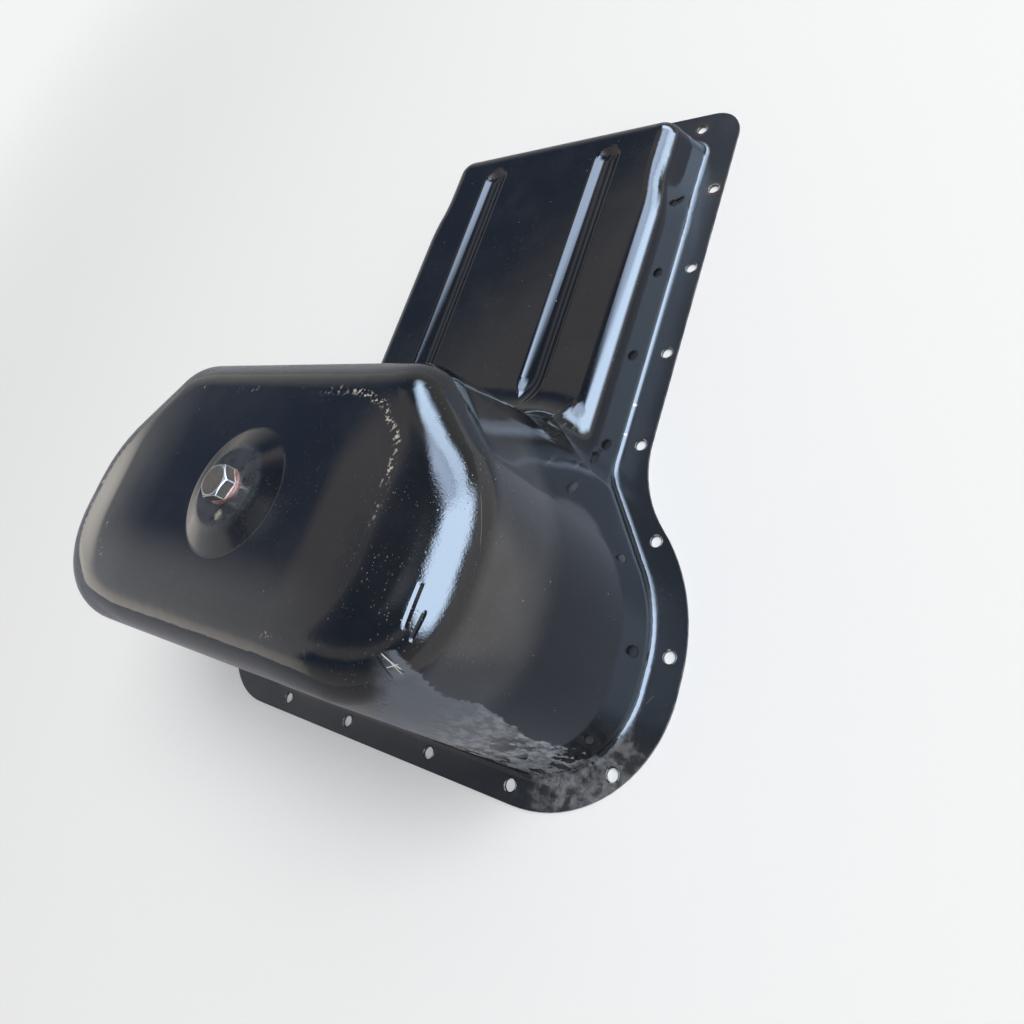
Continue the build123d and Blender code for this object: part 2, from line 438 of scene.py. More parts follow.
@dataclass(frozen=True)
class GlossPaint:
    """Black gloss paint on drawn sheet: dust, nibs, a scraped film at one corner, scuffs, scratches and a
    painted reflection of the plug's head on the seat.
    """

    name: str = "gloss_black_paint"
    index: float = 1.5
    black: Colour = (0.0062, 0.0068, 0.0080)
    dust: Colour = (0.30, 0.285, 0.265)
    veil: Colour = (0.28, 0.28, 0.29)
    oil: Colour = (0.028, 0.018, 0.010)
    film: Colour = (0.118, 0.129, 0.148)
    flake: Colour = (0.40, 0.40, 0.40)
    soil: Colour = (0.108, 0.098, 0.088)
    chip: Colour = (0.40, 0.365, 0.31)
    bare: Colour = (0.16, 0.15, 0.14)
    scraped: Colour = (0.74, 0.73, 0.70)

    dust_facing: Range = (-0.2, 0.9)
    dust_cover: Range = (0.008, 0.022)
    seat_cover: Range = (0.01, 0.06)
    oil_cover: Range = (0.3, 1.0)
    soil_cover: float = 0.85
    film_cover: float = 0.85
    rub_cover: float = 0.1
    speck_cover: float = 0.5
    hair_cover: float = 0.22

    gloss: float = 0.07
    hazy: float = 0.2
    haze_share: float = 0.35
    seat_rough: Range = (0.24, 0.42)
    satin: float = 0.3
    oily_rough: Range = (0.5, 0.24)
    film_rough: float = 0.4
    dull: float = 0.62
    rub_rough: float = 0.33

    haze: Clouds = Clouds(26.0, 0.38, 0.8)
    stain: Clouds = Clouds(22.0, 0.3, 0.7)
    smear: Clouds = Clouds(130.0, 0.3, 0.76)
    outward: Point = (0.0, 0.14, 0.1)
    outer_soft: float = 0.004
    flange_levels: Range = (0.0028, 0.0017)
    seat_levels: Range = (0.1750, 0.1766)
    roll: Spot = Spot((0.142, -0.142, 0.166), 0.072, 0.8, 0.2, 50.0)

    veil_top: Range = (0.153, 0.142)
    veil_foot: Range = (0.090, 0.112)
    veil_across: Range = (0.06, 0.13)
    veil_cover: Range = (0.0525, 0.15)
    veil_uneven: Range = (0.85, 1.15)

    film_near: Spot = Spot((0.139, -0.203, 0.095), 0.108, 0.3, 0.1, 60.0)
    film_top: tuple[Cut, ...] = (
        Cut((0.3874, -0.8189, -0.4235), 0.14005),
        Cut((-0.3182, -0.9121, 0.2583), 0.17101),
    )
    film_middle: tuple[Cut, ...] = (
        Cut((0.0774, -0.9943, -0.0729), 0.2004),
        Cut((-0.1983, -0.9704, 0.1381), 0.17905),
    )
    film_foot: Cut = Cut((0.0626, -0.9974, -0.0357), 0.21178)
    film_left: Cut = Cut((0.6867, 0.225, -0.6913), -0.06863)
    film_rim: Range = (0.0, 0.0012)
    film_fade: Range = (-0.002, 0.012)
    film_waves: float = 170.0
    film_octaves: float = 3.0
    film_shake: float = 0.005
    film_streaks: Streaks = Streaks((0.25, 0.0, 0.0), (420.0, 420.0, 34.0), 3.0, (0.3, 0.72))
    film_thinned: float = 0.3
    holes: Clouds = Clouds(115.0, 0.51, 0.55)
    hole_levels: Range = (0.085, 0.055)
    hole_stretch: Point = (1.0, 1.0, 0.55)
    flakes: Clouds = Clouds(330.0, 0.38, 0.62)
    flake_levels: Range = (0.13, 0.065)
    flake_stretch: Point = (1.0, 1.0, 0.4)

    fine_dust: Specks = Specks(760.0, 0.3, 0.34)
    coarse_dust: Specks = Specks(210.0, 0.07, 0.1)
    coarse_cover: float = 0.8
    drift: Clouds = Clouds(34.0, 0.36, 0.72)
    drift_amount: Range = (0.25, 1.05)

    ring_middle: float = -0.1405
    ring_half: Range = (0.109, 0.061)
    ring_round: float = 0.045
    chip_waves: float = 60.0
    chip_wander: float = 0.007
    chip_shift: float = 0.0012
    chip_band: Range = (0.003, 0.0008)
    chip_levels: Range = (0.168, 0.1705)
    flecks: Clouds = Clouds(480.0, 0.55, 0.6)
    worst_chips: Spot = Spot((0.088, -0.102, 0.1715), 0.055, 0.6, 0.35, 45.0)
    worn_top: Clouds = Clouds(36.0, 0.56, 0.66)
    worn_cover: float = 0.6

    soil_corner: Spot = Spot((0.148, -0.214, 0.0015), 0.038, 0.3, 0.7, 90.0)
    soil_broken: Clouds = Clouds(150.0, 0.44, 0.62)
    soil_amount: Range = (0.15, 0.85)
    soil_thin: Clouds = Clouds(55.0, 0.5, 0.85)
    soil_thin_cover: float = 0.12

    edge_upright: Range = (0.5, 0.2)
    edge_levels: Range = (0.0019, 0.0016)
    seal_facing: Range = (-0.9, -0.99)
    seal_levels: Range = (0.0006, 0.0002)
    edge_worn: Clouds = Clouds(120.0, 0.35, 0.6)
    knuckle: Spot = Spot((0.0915, -0.0265, 0.0435), 0.016, 0.7, 0.6, 120.0)
    rub_streaks: Streaks = Streaks((0.0, 0.0, 0.7), (420.0, 70.0, 120.0), 4.0, (0.48, 0.66))

    crown_reach: Range = (-0.042, 0.045)
    crown_drop: float = 0.0046
    roll_reach: Range = (0.002, 0.034)
    roll_drop: float = 0.0030
    slit_depth: float = 0.0004
    nib_height: float = 0.00005
    wave: Ripple = Ripple(16.0, 1.0, 0.00022)
    peel: Ripple = Ripple(700.0, 2.0, 0.0000045)
    grit: Ripple = Ripple(1000.0, 1.5, 0.00007)

    white_scratches: tuple[Scratch, ...] = (
        Scratch((0.1345, -0.1930, 0.1660), (0.1408, -0.1968, 0.1560), (0.62, -0.53, 0.58), 0.00042),
        Scratch((0.1358, -0.1979, 0.1612), (0.1403, -0.1948, 0.1592), (0.64, -0.56, 0.52), 0.00032),
        Scratch((0.1366, -0.1938, 0.1640), (0.1402, -0.1985, 0.1545), (0.66, -0.56, 0.50), 0.00022),
    )
    film_cuts: tuple[Scratch, ...] = (
        Scratch((0.1318, -0.1922, 0.1679), (0.1371, -0.2010, 0.1560), (0.55, -0.60, 0.58), 0.0007),
        Scratch((0.1346, -0.1920, 0.1662), (0.1410, -0.1975, 0.1545), (0.62, -0.54, 0.57), 0.0006),
        Scratch((0.1440, -0.1888, 0.1560), (0.1418, -0.2008, 0.1185), (0.83, -0.55, 0.10), 0.0010),
    )
    dark_slits: tuple[Scratch, ...] = (
        Scratch((0.1449, -0.1620, 0.1677), (0.1421, -0.1830, 0.1657), (0.55, -0.15, 0.82), 0.0016),
        Scratch((0.1482, -0.1725, 0.1634), (0.1444, -0.1860, 0.1620), (0.70, -0.30, 0.64), 0.0011),
    )
    hairlines: tuple[Scratch, ...] = (
        Scratch((0.1491, -0.1188, 0.1577), (0.1553, -0.1428, 0.1527), (0.9, 0.3, 0.3), 0.00018),
        Scratch((0.1661, -0.1726, 0.0015), (0.1702, -0.1664, 0.0015), (0.0, 0.0, 1.0), 0.00022),
    )
    marks: tuple[Mark, ...] = (
        Mark((0.1088, 0.0022, 0.0022), 0.0017, (0.60, 0.60, 0.59)),
        Mark((0.1084, -0.0189, 0.0025), 0.0014, (0.60, 0.60, 0.59)),
        # painted reflection: a yellowish patch on the seat just below the plug stands in for the plug
        # head's mirror image
        Mark((0.0065, -0.1535, 0.1770), 0.0034, (0.33, 0.32, 0.24), 0.8),
        Mark((0.0337, -0.1512, 0.1720), 0.0150, (0.30, 0.30, 0.30), 0.04),
        Mark((0.1205, 0.1709, 0.0015), 0.0075, (0.12, 0.055, 0.028), 0.6),
        Mark((0.0974, 0.2285, 0.0015), 0.0075, (0.12, 0.055, 0.028), 0.5),
    )

    def build(self) -> Material:
        """Makes the paint's material.

        Returns:
            The material.
        """
        skin = self._skin
        colour = self.black
        for cover, layer in self._layers():
            colour = skin.tint(cover, colour, layer)
        skin.give("Base Color", colour)
        skin.give("Roughness", self._roughness)
        skin.give("IOR", self.index)
        skin.bump(self._relief)
        return skin.material

    def _layers(self) -> list[tuple[Socket, Any]]:
        """Lists what lies on the black, from the lowest layer up.

        Returns:
            Covers and colours.
        """
        skin = self._skin
        haze, smear = skin.mask(self.haze), skin.mask(self.smear)
        settled = skin.blend(skin.step(skin.facing, *self.dust_facing), *self.dust_cover)
        oily = skin.blend(skin.mask(self.stain), *self.oil_cover)
        return [
            (skin.times(haze, settled), self.dust),
            (self._veil, self.veil),
            (skin.times(skin.height(self.seat_levels), skin.blend(smear, *self.seat_cover)), self.veil),
            (skin.blend(self._outer, oily, 0.0), self.oil),
            (skin.times(self._soil, self.soil_cover), self.soil),
            (skin.times(self._film, self.film_cover), self._coat),
            (skin.times(self._rubs, self.rub_cover), self.dust),
            (skin.times(self._specks, self.speck_cover), self.dust),
            (self._edge, self.bare),
            (self._chips, self.chip),
            *((mark.mask(skin), mark.colour) for mark in self.marks),
            (skin.times(self._lines(self.hairlines), self.hair_cover), self.scraped),
            (self._lines(self.white_scratches), self.scraped),
        ]

    def _lines(self, lines: tuple[Scratch, ...]) -> Socket:
        """Joins the masks of several thin lines."""
        return self._skin.math("MAXIMUM", *(line.mask(self._skin) for line in lines))

    @cached_property
    def _skin(self) -> Skin:
        """Graph of the material."""
        return Skin(self.name)

    @cached_property
    def _roughness(self) -> Socket:
        """Roughness of the paint, duller where a layer lies on it."""
        skin = self._skin
        rough = skin.blend(skin.times(skin.mask(self.haze), self.haze_share), self.gloss, self.hazy)
        smeared = skin.blend(skin.mask(self.smear), *self.seat_rough)
        rough = skin.blend(skin.height(self.seat_levels), rough, smeared)
        rough = skin.blend(skin.height(self.flange_levels), rough, self.satin)
        rough = skin.blend(self._outer, skin.blend(skin.mask(self.stain), *self.oily_rough), rough)
        rough = skin.blend(self._film, rough, self.film_rough)
        rough = skin.blend(skin.math("MAXIMUM", self._specks, self._chips, self._soil), rough, self.dull)
        return skin.blend(self._rubs, rough, self.rub_rough)

    @cached_property
    def _relief(self) -> Socket:
        """Height of the crown, the sheet's waves, the paint's peel, the dust's nibs and the dents."""
        skin = self._skin
        return skin.math(
            "ADD",
            self.wave.lay(skin),
            self.peel.lay(skin),
            skin.times(self._specks, self.nib_height),
            skin.times(self.grit.lay(skin), skin.mask(self.roll)),
            skin.times(skin.step(self._ring, *self.crown_reach), -self.crown_drop),
            skin.times(skin.step(self._ring, *self.roll_reach), -self.roll_drop),
            skin.times(self._lines(self.dark_slits), -self.slit_depth),
        )

    @cached_property
    def _outer(self) -> Socket:
        """Mask of the sheet's outer skin, whose normal points away from the sump's axis or up."""
        skin = self._skin
        away = skin.mapped(Location=self.outward, Scale=(1.0, 1.0, 0.0))
        return skin.step(skin.measure("DOT_PRODUCT", skin.normal, away), -self.outer_soft, self.outer_soft)

    @cached_property
    def _ring(self) -> Socket:
        """Metres outside the rounded outline of the sump top's flat middle, below 0 inside."""
        skin = self._skin
        half_across, half_along = (half - self.ring_round for half in self.ring_half)
        across = skin.less(skin.math("ABSOLUTE", skin.at["X"]), half_across)
        along = skin.less(skin.math("ABSOLUTE", skin.less(skin.at["Y"], self.ring_middle)), half_along)
        sides = {"X": skin.math("MAXIMUM", across, 0.0), "Y": skin.math("MAXIMUM", along, 0.0)}
        reach = skin.measure("LENGTH", skin.out("ShaderNodeCombineXYZ", sides))
        inner = skin.math("MINIMUM", skin.math("MAXIMUM", across, along), 0.0)
        return skin.less(skin.math("ADD", reach, inner), self.ring_round)

    @cached_property
    def _veil(self) -> Socket:
        """Cover of a thin pale grey veil in a band round the sump's walls, thicker on the right."""
        skin = self._skin
        cover = skin.blend(skin.step(skin.at["X"], *self.veil_across), *self.veil_cover)
        uneven = skin.blend(skin.mask(self.haze), *self.veil_uneven)
        return skin.times(skin.height(self.veil_top), skin.height(self.veil_foot), cover, uneven)

    @cached_property
    def _film(self) -> Socket:
        """Mask of the grey scraped film at the sump's near corner, torn at its lower end."""
        skin = self._skin
        inputs = {"Vector": skin.place, "Scale": self.film_waves, "Detail": self.film_octaves}
        tremble = skin.out("ShaderNodeTexNoise", inputs, "Color")
        shift = skin.vector("SUBTRACT", tremble, (NOISE_MIDDLE,) * 3)
        shaken = skin.vector("ADD", skin.place, skin.vector("MULTIPLY", shift, (self.film_shake,) * 3))
        top = skin.math("MINIMUM", *(cut.place(skin, shaken) for cut in self.film_top))
        middle = skin.math("MINIMUM", *(cut.place(skin, shaken) for cut in self.film_middle))
        inside = skin.math("MAXIMUM", top, middle, self.film_foot.place(skin, shaken))
        left = skin.step(self.film_left.place(skin, shaken), *self.film_fade)
        holes = self.holes.place(skin, skin.mapped(Scale=self.hole_stretch))
        torn = skin.times(holes, skin.height(self.hole_levels))
        thin = skin.times(self.film_streaks.mask(skin), self.film_thinned)
        whole = (skin.less(1.0, gap) for gap in (torn, thin, self._lines(self.film_cuts)))
        near = skin.times(skin.mask(self.film_near), self._outer)
        return skin.times(skin.step(inside, *self.film_rim), near, left, *whole)

    @cached_property
    def _coat(self) -> Socket:
        """Colour of the scraped film, flaky at its lower end."""
        skin = self._skin
        flaky = self.flakes.place(skin, skin.mapped(Scale=self.flake_stretch))
        return skin.tint(skin.times(flaky, skin.height(self.flake_levels)), self.film, self.flake)

    @cached_property
    def _specks(self) -> Socket:
        """Mask of pale dust grains and nibs, thicker over the sump's right-hand roll."""
        skin = self._skin
        amount = skin.times(skin.mask(self.drift), skin.blend(skin.mask(self.roll), *self.drift_amount))
        fine = skin.times(skin.mask(self.fine_dust), amount)
        coarse = skin.times(skin.mask(self.coarse_dust), self.coarse_cover)
        return skin.times(skin.math("MAXIMUM", fine, coarse), self._outer)

    @cached_property
    def _chips(self) -> Socket:
        """Mask of small pale chips in a ring on the sump's top, where the pan has stood on it."""
        skin = self._skin
        wander = skin.times(skin.swing(skin.place, self.chip_waves), self.chip_wander)
        off = skin.math("ABSOLUTE", skin.math("ADD", self._ring, wander, self.chip_shift))
        band = skin.times(skin.step(off, *self.chip_band), skin.height(self.chip_levels))
        worn = skin.times(skin.mask(self.worn_top), self.worn_cover)
        amount = skin.math("MAXIMUM", skin.mask(self.worst_chips), worn)
        return skin.times(band, skin.mask(self.flecks), amount, self._outer)

    @cached_property
    def _soil(self) -> Socket:
        """Mask of dry brown-grey soil on the flange, thickest at the near corner."""
        skin = self._skin
        broken = skin.blend(skin.mask(self.soil_broken), *self.soil_amount)
        patch = skin.times(skin.mask(self.soil_corner), broken)
        thin = skin.times(skin.mask(self.soil_thin), self.soil_thin_cover)
        return skin.times(skin.height(self.flange_levels), skin.math("MAXIMUM", patch, thin), self._outer)

    @cached_property
    def _rubs(self) -> Socket:
        """Mask of grey rubbed smears where the saddle meets the rail."""
        skin = self._skin
        return skin.times(skin.mask(self.knuckle), self.rub_streaks.mask(skin), self._outer)

    @cached_property
    def _edge(self) -> Socket:
        """Mask of bare places on the cut edges of the flange and its holes, and on its gasket face."""
        skin = self._skin
        upright = skin.step(skin.math("ABSOLUTE", skin.facing), *self.edge_upright)
        edge = skin.times(upright, skin.height(self.edge_levels))
        seal = skin.times(skin.step(skin.facing, *self.seal_facing), skin.height(self.seal_levels))
        return skin.times(skin.math("MAXIMUM", edge, seal), skin.mask(self.edge_worn))


@dataclass(frozen=True)
class WornSteel:
    """Bare steel, brown on its flats and rubbed bright where the wear attribute is high."""

    name: str = "worn_steel"
    bright: Colour = (0.52, 0.51, 0.49)
    steel: Colour = (0.080, 0.071, 0.061)
    rust: Colour = (0.055, 0.038, 0.026)
    rusty: Clouds = Clouds(260.0, 0.36, 0.6)
    grain: float = 900.0
    octaves: float = 4.0
    uneven: float = 0.9
    rubbed: Range = (0.35, 0.7)
    metallic: Range = (0.7, 0.15)
    flat_rough: Range = (0.48, 0.75)
    bright_rough: Range = (0.24, 0.4)
    relief: float = 0.00004

    def build(self) -> Material:
        """Makes the steel's material.

        Returns:
            The material.
        """
        skin = Skin(self.name)
        wear = skin.out("ShaderNodeAttribute", key="Fac", attribute_name=WEAR)
        rust = skin.mask(self.rusty)
        grain = skin.noise(skin.place, self.grain, self.octaves)
        uneven = skin.times(skin.less(grain, NOISE_MIDDLE), self.uneven)
        rubbed = skin.step(skin.math("ADD", wear, uneven), *self.rubbed)
        flat_rough = skin.blend(rust, *self.flat_rough)
        bright_rough = skin.blend(grain, *self.bright_rough)
        skin.give("Base Color", skin.tint(rubbed, skin.tint(rust, self.steel, self.rust), self.bright))
        skin.give("Metallic", skin.blend(rubbed, skin.blend(rust, *self.metallic), 1.0))
        skin.give("Roughness", skin.blend(rubbed, flat_rough, bright_rough))
        skin.bump(skin.math("ADD", grain, rust), self.relief)
        return skin.material


@dataclass(frozen=True)
class DullCopper:
    """Copper of the sealing ring, pinkish and a little dull."""

    name: str = "dull_copper"
    copper: Colour = (0.36, 0.205, 0.165)
    stain: Colour = (0.15, 0.08, 0.06)
    stained: Clouds = Clouds(260.0, 0.45, 0.75)
    grain: float = 1200.0
    octaves: float = 3.0
    rough: Range = (0.4, 0.6)

    def build(self) -> Material:
        """Makes the copper's material.

        Returns:
            The material.
        """
        skin = Skin(self.name)
        skin.give("Base Color", skin.tint(skin.mask(self.stained), self.copper, self.stain))
        grain = skin.noise(skin.place, self.grain, self.octaves)
        skin.give("Roughness", skin.blend(grain, *self.rough))
        skin.give("Metallic", 1.0)
        return skin.material


@dataclass(frozen=True)
class RimPaint:
    """Paint on the raised rims of the bolt holes, rubbed through to bare steel in places."""

    name: str = "rubbed_rim_paint"
    index: float = 1.5
    black: Colour = (0.010, 0.011, 0.012)
    bare: Colour = (0.30, 0.28, 0.26)
    worn: Clouds = Clouds(210.0, 0.5, 0.62)
    rough: Range = (0.2, 0.5)

    def build(self) -> Material:
        """Makes the rims' material.

        Returns:
            The material.
        """
        skin = Skin(self.name)
        worn = skin.mask(self.worn)
        skin.give("Base Color", skin.tint(worn, self.black, self.bare))
        skin.give("Roughness", skin.blend(worn, *self.rough))
        skin.give("IOR", self.index)
        return skin.material


def add(name: str, data: ID) -> Object:
    """Adds an object to the scene.

    Args:
        name: the object's name.
        data: its mesh, lamp or camera.

    Returns:
        The object.
    """
    made = bpy.data.objects.new(name, data)
    bpy.context.scene.collection.objects.link(made)
    return made


def settle(piece: Object) -> None:
    """Lets a piece ride on the part.

    Args:
        piece: the finished piece.
    """
    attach(piece, BODY)
    LOG.info("%s: %d faces", piece.name, len(piece.data.polygons))


def paint_node(node: Node, material: Material) -> None:
    """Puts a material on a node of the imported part.

    Args:
        node: the node.
        material: its finish.
    """
    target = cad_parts[node.value]
    target.data.materials.clear()
    target.data.materials.append(material)
    LOG.info("%s dressed in %s", node.value, material.name)


class Growth(Graph):
    """Geometry Nodes tree with named sizes and a material, run once to make a piece."""

    def __init__(self, name: str, sizes: dict[str, float], material: Material) -> None:
        """Starts the tree.

        Args:
            name: the piece's name.
            sizes: the tree's sizes by name.
            material: the piece's finish.
        """
        super().__init__(bpy.data.node_groups.new(name, "GeometryNodeTree"))
        self.name = name
        self.values = {**sizes, "Material": material}
        kinds = {"Geometry": "Geometry", **dict.fromkeys(sizes, "Float"), "Material": "Material"}
        for label, kind in kinds.items():
            self.tree.interface.new_socket(label, in_out="INPUT", socket_type="NodeSocket" + kind)
        self.tree.interface.new_socket("Geometry", in_out="OUTPUT", socket_type="NodeSocketGeometry")
        self.taken = self.node("NodeGroupInput").outputs

    def circle(self, label: str, resolution: int) -> Socket:
        """Adds a circle whose radius is one of the sizes."""
        inputs = {"Resolution": resolution, "Radius": self.taken[label]}
        return self.out("GeometryNodeCurvePrimitiveCircle", inputs)

    def sweep(self, curve: Socket, profile: Socket, caps: bool) -> Socket:
        """Runs a profile along a curve."""
        inputs = {"Curve": curve, "Profile Curve": profile, "Fill Caps": caps}
        return self.out("GeometryNodeCurveToMesh", inputs)

    def run(self, geometry: Socket, seed: Mesh) -> Object:
        """Ends the tree, runs it and keeps its result as a plain mesh.

        Args:
            geometry: what the tree has made.
            seed: mesh that the tree starts from.

        Returns:
            The finished piece.
        """
        real = self.out("GeometryNodeRealizeInstances", {"Geometry": geometry})
        inputs = {"Geometry": real, "Material": self.taken["Material"]}
        self.node("NodeGroupOutput", {"Geometry": self.out("GeometryNodeSetMaterial", inputs)})
        holder = add(self.name + "_seed", seed)
        modifier = holder.modifiers.new("grow", "NODES")
        modifier.node_group = self.tree
        for item in self.tree.interface.items_tree:
            if item.in_out == "INPUT" and item.name in self.values:
                modifier[item.identifier] = self.values[item.name]
        state = bpy.context.evaluated_depsgraph_get()
        state.update()
        grown = holder.evaluated_get(state)
        mesh = bpy.data.meshes.new_from_object(grown, preserve_all_data_layers=True, depsgraph=state)
        holder.modifiers.clear()
        bpy.data.objects.remove(holder)
        mesh.name = self.name
        return add(self.name, mesh)


@dataclass
class PanShell:
    """The drawn sheet of the pan and the raised rims of its bolt holes."""

    paint: GlossPaint = field(default_factory=GlossPaint)
    rim_paint: RimPaint = field(default_factory=RimPaint)
    sheet: float = 0.0015
    hole_radius: float = 0.0035
    rim_wire: float = 0.00042
    rim_sink: float = 0.00018
    rim_steps: int = 28
    wire_steps: int = 8
    full_turn: float = 6.28
    seed: int = 4
    holes: tuple[tuple[float, float], ...] = (
        (0.1205, -0.0250), (0.1205, 0.0403), (0.1205, 0.1056), (0.1205, 0.1709),
        (0.14774, -0.0843), (0.17298, -0.14596), (0.15798, -0.21043),
        (0.0368, -0.2327), (0.0994, -0.2327), (0.0325, 0.2285), (0.0974, 0.2285))

    def build(self) -> None:
        """Paints the shell and adds the rims."""
        paint_node(Node.SHELL, self.paint.build())
        settle(self._rims())

    def _rims(self) -> Object:
        """Puts a thin raised rim round each hole.

        Returns:
            The piece.
        """
        sizes = {"Radius": self.hole_radius + self.rim_wire, "Wire": self.rim_wire}
        tree = Growth("hole_rims", sizes, self.rim_paint.build())
        wire = tree.circle("Wire", self.wire_steps)
        ring = tree.sweep(tree.circle("Radius", self.rim_steps), wire, False)
        smooth = tree.out("GeometryNodeSetShadeSmooth", {"Geometry": ring})
        points = tree.out("GeometryNodeMeshToPoints", {"Mesh": tree.taken["Geometry"]})
        turns = {"Min": ORIGIN, "Max": (0.0, 0.0, self.full_turn), "Seed": self.seed}
        turn = tree.out("FunctionNodeRandomValue", turns, data_type="FLOAT_VECTOR")
        inputs = {"Points": points, "Instance": smooth, "Rotation": turn}
        placed = tree.out("GeometryNodeInstanceOnPoints", inputs)
        height = self.sheet - self.rim_sink
        places = bpy.data.meshes.new("hole_places")
        places.from_pydata([(side * x, y, height) for x, y in self.holes for side in (1.0, -1.0)], [], [])
        return tree.run(placed, places)


@dataclass
class DrainFitting:
    """Plug, sealing ring and weld nut of the drain."""

    steel: WornSteel = field(default_factory=WornSteel)
    copper: DullCopper = field(default_factory=DullCopper)
    axis: tuple[float, float] = (0.002, -0.1385)
    head_top: float = 0.185
    head_foot: float = 0.1785
    across_flats: float = 0.017
    corners: int = 6
    face: float = 0.0162
    face_rim: float = 0.0006
    chamfer: float = 30.0
    turn: float = 10.0
    side_shares: tuple[float, ...] = (1.0, 0.88, 0.5, 0.12, 0.0)
    collar: float = 0.0072
    shank: float = 0.00625
    shank_foot: float = 0.1635
    shank_chamfer: float = 0.0015
    thread: float = 0.007
    thread_gap: float = 0.0006
    thread_steps: int = 48
    ridge: float = 0.00055
    ridge_steps: int = 6
    pitch: float = 0.0015
    round_off: float = 0.00016
    round_steps: int = 2
    round_profile: float = 0.5
    sharp: float = 35.0
    steps: int = 72

    def build(self) -> None:
        """Builds the plug and dresses the fitting's pieces."""
        steel = self.steel.build()
        plug = self._plug(steel)
        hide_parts(Node.PLUG.value)
        settle(plug)
        settle(self._thread(steel))
        paint_node(Node.NUT, steel)
        paint_node(Node.WASHER, self.copper.build())

    def _at(self, angle: float, radius: float, height: float) -> Point:
        """Point at an angle and radius about the drain's axis."""
        return (self.axis[0] + radius * math.cos(angle), self.axis[1] + radius * math.sin(angle), height)

    def _rings(self) -> tuple[list[list[Point]], list[list[Point]], list[list[Point]]]:
        """Lists the plug's rings of points from the head's face down to the shank's end.

        Returns:
            The rings of the face and its chamfer, of the hexagon's sides and of the shank.
        """
        slope = math.tan(math.radians(self.chamfer))
        apothem, face = self.across_flats / 2, self.face / 2
        sector = FULL_CIRCLE / self.corners
        angles = [math.radians(self.turn + FULL_CIRCLE * k / self.steps) for k in range(self.steps)]

        def wall(angle: float) -> float:
            """Distance from the axis to the hexagon's side at an angle."""
            local = (math.degrees(angle) - self.turn) % sector - sector / 2
            return apothem / math.cos(math.radians(local))

        def lip(angle: float) -> float:
            """Height at which the chamfer meets the side at an angle."""
            return self.head_top - (wall(angle) - face) * slope

        def circle(radius: float, height: float) -> list[Point]:
            """Ring of one radius at one height."""
            return [self._at(a, radius, height) for a in angles]

        def side(share: float) -> list[Point]:
            """Ring on the hexagon's sides, between its foot at 0 and the chamfer at 1."""
            foot = self.head_foot
            return [self._at(a, wall(a), foot + (lip(a) - foot) * share) for a in angles]

        cone = [self._at(a, (wall(a) + face) / 2, (lip(a) + self.head_top) / 2) for a in angles]
        flats = [circle(radius, self.head_top) for radius in (face / 2, face - self.face_rim, face)]
        shank = [circle(self.collar, self.head_foot), circle(self.shank, self.head_foot),
                 circle(self.shank, self.shank_foot + self.shank_chamfer),
                 circle(self.shank - self.shank_chamfer, self.shank_foot)]
        return [*flats, cone], [side(share) for share in self.side_shares], shank

    def _plug(self, steel: Material) -> Object:
        """Builds the plug: a hexagon head with rounded, worn edges on a plain core.

        Args:
            steel: the plug's material.

        Returns:
            The piece.
        """
        shape = bmesh.new()
        flats, sides, shank = ([[shape.verts.new(point) for point in ring] for ring in rings]
                               for rings in self._rings())
        rings = [*flats, *sides, *shank]
        after = [(k + 1) % self.steps for k in range(self.steps)]
        for upper, lower in zip(rings, rings[1:]):
            for k in range(self.steps):
                shape.faces.new((upper[k], lower[k], lower[after[k]], upper[after[k]]))
        shape.faces.new(rings[0])
        shape.faces.new(list(reversed(rings[-1])))
        rims = (flats[2], sides[0], sides[-1])
        ends = [(ring[k], ring[after[k]]) for ring in rims for k in range(self.steps)]
        ends += [(upper[k], lower[k]) for upper, lower in zip(sides, sides[1:])
                 for k in range(0, self.steps, self.steps // self.corners)]
        worn = [shape.edges.get(pair) for pair in ends]
        wear = shape.verts.layers.float.new(WEAR)
        made = bmesh.ops.bevel(shape, geom=worn, offset=self.round_off, segments=self.round_steps,
                               profile=self.round_profile, affect="EDGES", clamp_overlap=True)
        for face in made["faces"]:
            for vert in face.verts:
                vert[wear] = 1.0
        bmesh.ops.recalc_face_normals(shape, faces=shape.faces)
        mesh = bpy.data.meshes.new("hex_plug")
        shape.to_mesh(mesh)
        shape.free()
        mesh.shade_smooth()
        mesh.set_sharp_from_angle(angle=math.radians(self.sharp))
        mesh.materials.append(steel)
        return add("hex_plug", mesh)

    def _thread(self, steel: Material) -> Object:
        """Builds the plug's thread: a ridge that winds round its core.

        Args:
            steel: the thread's material.

        Returns:
            The piece.
        """
        foot = self.shank_foot + self.shank_chamfer
        length = self.head_foot - self.thread_gap - foot
        sizes = {"Radius": self.thread - self.ridge, "Ridge": self.ridge, "Length": length,
                 "Turns": length / self.pitch}
        tree = Growth("plug_thread", sizes, steel)
        inputs = {"Resolution": self.thread_steps, "Rotations": tree.taken["Turns"],
                  "Start Radius": tree.taken["Radius"], "End Radius": tree.taken["Radius"],
                  "Height": tree.taken["Length"]}
        spiral = tree.out("GeometryNodeCurveSpiral", inputs)
        ridge = tree.sweep(spiral, tree.circle("Ridge", self.ridge_steps), True)
        inputs = {"Geometry": ridge, "Translation": (*self.axis, foot)}
        placed = tree.out("GeometryNodeTransform", inputs)
        return tree.run(placed, bpy.data.meshes.new("thread_start"))


